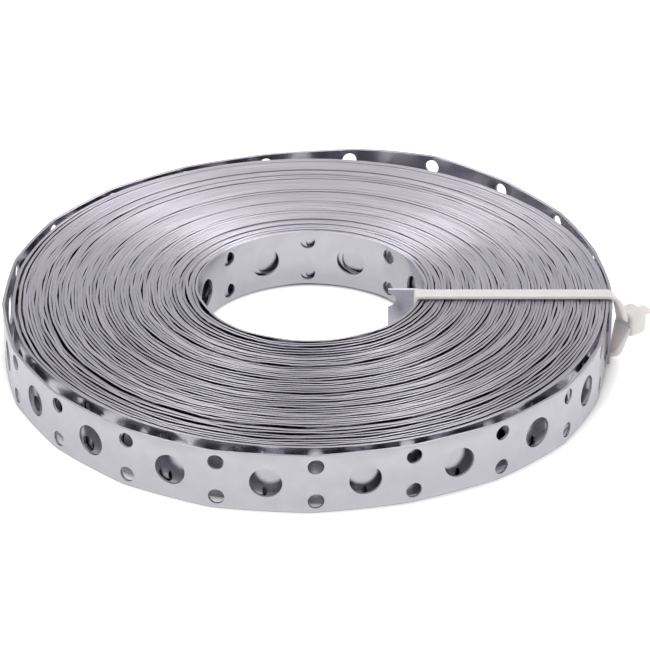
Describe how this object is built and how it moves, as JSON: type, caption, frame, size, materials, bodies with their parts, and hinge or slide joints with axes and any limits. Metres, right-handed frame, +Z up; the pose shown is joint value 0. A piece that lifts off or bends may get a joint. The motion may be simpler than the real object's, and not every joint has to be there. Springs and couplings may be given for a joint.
{
  "type": "mounting strap roll",
  "caption": "Flat roll of perforated galvanised steel mounting strap, wound on itself and held by a white cable tie.",
  "frame": {"origin": "on the axis of the roll's bore, at the level of the surface that the roll lies on", "axes": "+Z up along the bore's axis, +X towards the cable tie's head, -Y towards the front, where the last turn stands off the roll"},
  "size_m": [0.2111, 0.2051, 0.0227],
  "materials": {
    "galvanised_strap": "satin zinc-coated sheet with slit edges",
    "white_nylon": "moulded natural white nylon"
  },
  "bodies": {
    "root": {"perforated_strap": "galvanised_strap", "cable_tie": "white_nylon"}
  },
  "joints": []
}
